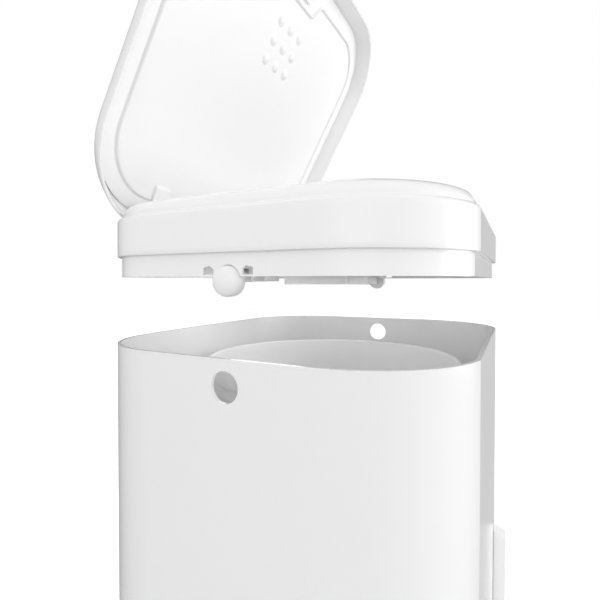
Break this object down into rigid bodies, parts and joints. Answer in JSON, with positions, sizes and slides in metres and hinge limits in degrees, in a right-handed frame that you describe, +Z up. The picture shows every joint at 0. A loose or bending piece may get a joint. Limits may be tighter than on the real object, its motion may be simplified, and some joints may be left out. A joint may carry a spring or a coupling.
{
  "type": "pedal trash can",
  "caption": "Free-standing pedal trash can with a rounded box body, round liner ring, front access door, lift-off push-button head and a hinged lid worked by a foot pedal.",
  "frame": {"origin": "on the floor, under the middle of the body, at the centre foot's rest face", "axes": "+Z up, -Y towards the front with the door and pedal, +Y towards the lid hinge, +X across the body"},
  "size_m": [0.2878, 0.277, 0.9343],
  "materials": {
    "white_gloss": "gloss white moulded plastic",
    "white_inner": "satin white moulded plastic",
    "white_button": "satin white moulded plastic",
    "grey_base": "matt light grey moulded plastic",
    "foot_rubber": "matt rubber",
    "tread_rubber": "matt light rubber",
    "soft_seal": "soft white rubber",
    "pedal_steel": "white powder coat",
    "zinc": "bright zinc plate"
  },
  "bodies": {
    "body": {"body_shell": "white_gloss", "base_plate": "grey_base", "base_screws": "zinc", "base_feet": "foot_rubber", "pedal_brackets": "grey_base", "pedal_axle": "zinc", "rod_channel": "white_inner", "ring_deck": "white_inner", "deck_screws": "zinc", "liner_ring": "white_inner", "door_hinge_pins": "zinc"},
    "pedal": {"pedal_arm": "pedal_steel", "pedal_tread": "tread_rubber"},
    "rod": {"push_rod": "zinc"},
    "door": {"door_panel": "white_gloss", "door_grip": "white_gloss"},
    "head": {"head_shell": "white_gloss", "head_frame": "white_gloss", "head_screws": "zinc", "release_springs": "zinc", "lid_hinge_pins": "zinc"},
    "pin": {"lift_pin": "zinc"},
    "left_release": {"release_slide_left": "white_button"},
    "right_release": {"release_slide_right": "white_button"},
    "lid": {"lid_shell": "white_gloss", "lid_inner_panel": "white_inner", "lid_seal": "soft_seal", "lid_lever": "white_inner"}
  },
  "joints": [
    {"name": "head_lift", "type": "slide", "parent": "body", "child": "head", "axis": [0, 0, 1], "range_m": [-0.0543, 0]},
    {"name": "lid_hinge", "type": "hinge", "parent": "head", "child": "lid", "pos_m": [0, 0.1093, 0.7309], "axis": [-1, 0, 0], "range_deg": [-61.5, 0]},
    {"name": "lift_pin_slide", "type": "slide", "parent": "head", "child": "pin", "axis": [0, 0, 1], "range_m": [-0.01637, 0]},
    {"name": "push_rod_slide", "type": "slide", "parent": "body", "child": "rod", "axis": [0, 0, 1], "range_m": [-0.01637, 0]},
    {"name": "pedal_hinge", "type": "hinge", "parent": "body", "child": "pedal", "pos_m": [0, 0.015, 0.03], "axis": [-1, 0, 0], "range_deg": [0, 11.62]},
    {"name": "left_release_slide", "type": "slide", "parent": "head", "child": "left_release", "axis": [-1, 0, 0], "range_m": [0, 0.004], "stiffness_N_per_m": 300, "springref_m": 0.006},
    {"name": "right_release_slide", "type": "slide", "parent": "head", "child": "right_release", "axis": [1, 0, 0], "range_m": [0, 0.004], "stiffness_N_per_m": 300, "springref_m": 0.006},
    {"name": "door_hinge", "type": "hinge", "parent": "body", "child": "door", "pos_m": [-0.0793, -0.1234, 0.25], "axis": [0, 0, -1], "range_deg": [0, 100]}
  ],
  "couplings": [
    {"joint": "lift_pin_slide", "follows": "lid_hinge", "m_per_rad": 0.01524},
    {"joint": "push_rod_slide", "follows": "lid_hinge", "m_per_rad": 0.01524},
    {"joint": "pedal_hinge", "follows": "lid_hinge", "ratio": -0.18862}
  ]
}
